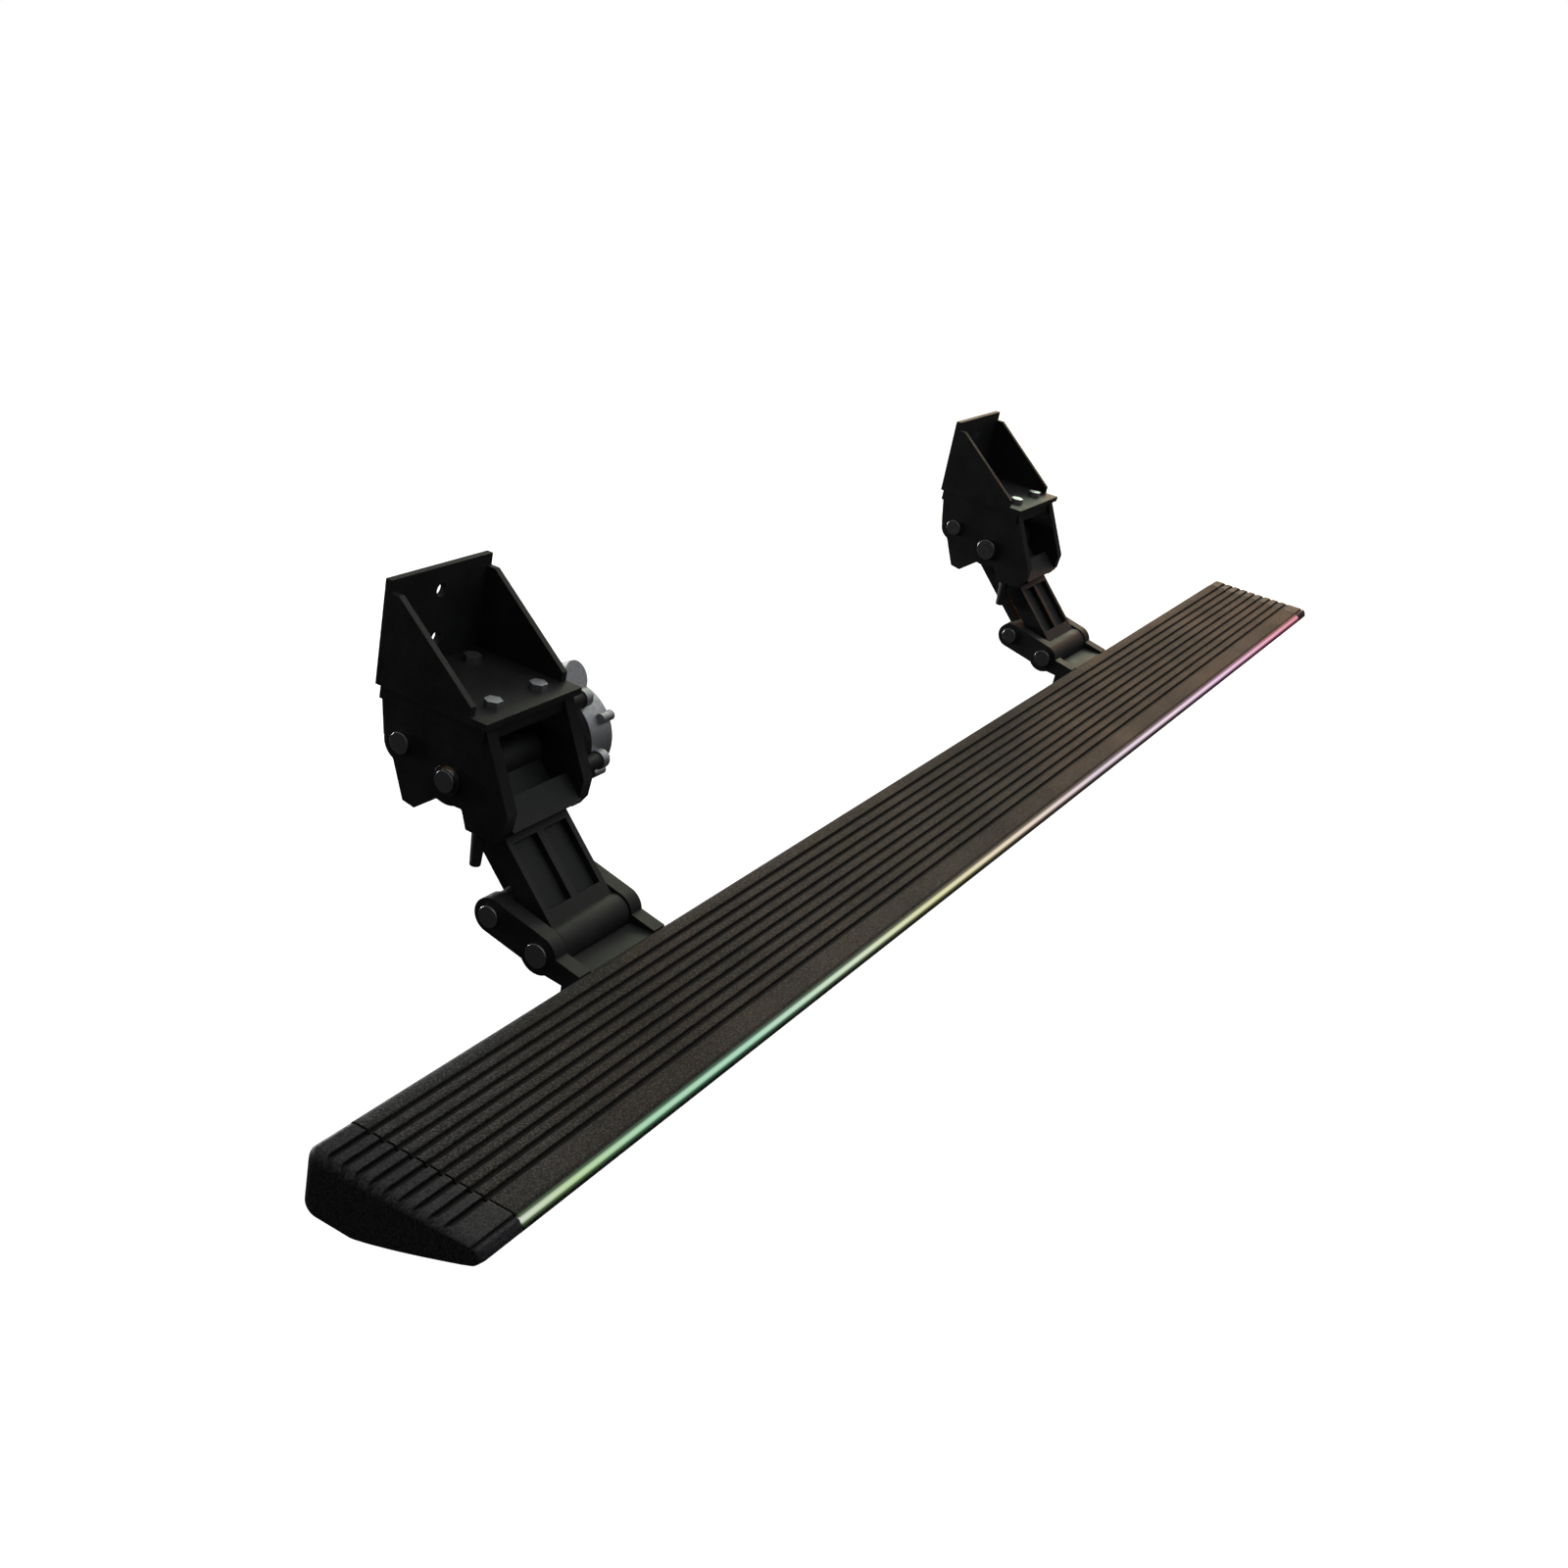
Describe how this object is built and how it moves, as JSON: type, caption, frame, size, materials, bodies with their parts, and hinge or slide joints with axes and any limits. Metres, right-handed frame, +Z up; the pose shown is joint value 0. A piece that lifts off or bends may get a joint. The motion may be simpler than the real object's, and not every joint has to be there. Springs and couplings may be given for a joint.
{
  "type": "power running board",
  "caption": "Grooved vehicle side step that swings down and out on two parallel-link brackets driven by a worm gear motor, with a lit front edge.",
  "frame": {"origin": "centre of the four vehicle bolt holes, in the plane of the two hangers' mounting faces", "axes": "+X along the board, +Y in towards the vehicle, so the step stands out along -Y, +Z up"},
  "size_m": [1.9, 0.4351, 0.3151],
  "materials": {
    "powder_coat": "fine-textured satin black powder coat",
    "cap_plastic": "satin moulded black",
    "light_lens": "milky diffuser, lit",
    "circuit_board": "white flexible circuit",
    "diodes": "clear resin, lit",
    "black_steel": "satin black coat",
    "black_casting": "textured black coat on cast aluminium",
    "zinc_steel": "bright zinc",
    "ground_steel": "ground",
    "spring_steel": "phosphated",
    "bronze": "sintered bronze",
    "rubber": "matte",
    "gearbox_alloy": "as die cast",
    "motor_steel": "satin black",
    "magnet": "ferrite",
    "phenolic": "brown phenolic",
    "socket_plastic": "moulded black",
    "contact_metal": "copper alloy",
    "winding": "lacquered copper"
  },
  "bodies": {
    "root": {"left_hanger": "black_steel", "right_hanger": "black_steel", "left_hanger_bolts": "zinc_steel", "right_hanger_bolts": "zinc_steel", "left_base": "black_casting", "right_base": "black_casting", "left_base_bushes": "bronze", "right_base_bushes": "bronze", "left_link_pin": "ground_steel", "right_link_pin": "ground_steel", "left_link_clip": "spring_steel", "right_link_clip": "spring_steel", "left_lowered_stop": "rubber", "right_lowered_stop": "rubber", "left_raised_bumpers": "rubber", "right_raised_bumpers": "rubber", "gearbox_housing": "gearbox_alloy", "gearbox_cover": "gearbox_alloy", "gearbox_screws": "zinc_steel", "gearbox_bolts": "zinc_steel", "motor_can": "motor_steel", "motor_magnets": "magnet", "motor_brushes": "phenolic", "motor_bearings": "ground_steel", "motor_socket": "socket_plastic", "socket_pins": "contact_metal", "motor_screws": "zinc_steel"},
    "left_swing_arm": {"left_arm": "black_casting", "left_arm_bushes": "bronze", "drive_shaft": "ground_steel", "shaft_keys": "ground_steel", "drive_shaft_clip": "spring_steel", "worm_wheel": "bronze"},
    "right_swing_arm": {"right_arm": "black_casting", "right_arm_bushes": "bronze", "right_arm_pin": "ground_steel", "right_arm_clip": "spring_steel"},
    "left_lower_link": {"left_link": "black_casting", "left_link_bushes": "bronze"},
    "right_lower_link": {"right_link": "black_casting", "right_link_bushes": "bronze"},
    "step": {"step_board": "powder_coat", "left_end_cap": "cap_plastic", "right_end_cap": "cap_plastic", "end_cap_screws": "zinc_steel", "light_lens": "light_lens", "light_circuit": "circuit_board", "light_diodes": "diodes", "light_cable_gland": "rubber", "left_foot": "black_casting", "right_foot": "black_casting", "left_foot_bolts": "zinc_steel", "right_foot_bolts": "zinc_steel", "left_foot_pins": "ground_steel", "right_foot_pins": "ground_steel", "left_foot_clips": "spring_steel", "right_foot_clips": "spring_steel"},
    "rotor": {"worm_shaft": "ground_steel", "armature": "winding", "commutator": "contact_metal"}
  },
  "joints": [
    {"name": "step_swing", "type": "hinge", "parent": "root", "child": "left_swing_arm", "pos_m": [-0.51, -0.075, -0.1], "axis": [1, 0, 0], "range_deg": [0, 110]},
    {"name": "right_arm_swing", "type": "hinge", "parent": "root", "child": "right_swing_arm", "pos_m": [0.51, -0.075, -0.1], "axis": [1, 0, 0], "range_deg": [0, 110]},
    {"name": "left_link_swing", "type": "hinge", "parent": "root", "child": "left_lower_link", "pos_m": [-0.51, -0.0267, -0.08706], "axis": [1, 0, 0], "range_deg": [0, 110]},
    {"name": "right_link_swing", "type": "hinge", "parent": "root", "child": "right_lower_link", "pos_m": [0.51, -0.0267, -0.08706], "axis": [1, 0, 0], "range_deg": [0, 110]},
    {"name": "step_level", "type": "hinge", "parent": "left_swing_arm", "child": "step", "pos_m": [-0.51, -0.18107, -0.20607], "axis": [1, 0, 0], "range_deg": [-110, 0]},
    {"name": "motor_spin", "type": "hinge", "parent": "root", "child": "rotor", "pos_m": [-0.419, -0.05425, -0.06406], "axis": [0, 0.866, -0.5], "range_deg": [0, 5060]}
  ],
  "couplings": [
    {"joint": "right_arm_swing", "follows": "step_swing", "ratio": 1},
    {"joint": "left_link_swing", "follows": "step_swing", "ratio": 1},
    {"joint": "right_link_swing", "follows": "step_swing", "ratio": 1},
    {"joint": "step_level", "follows": "step_swing", "ratio": -1},
    {"joint": "motor_spin", "follows": "step_swing", "ratio": 46}
  ]
}
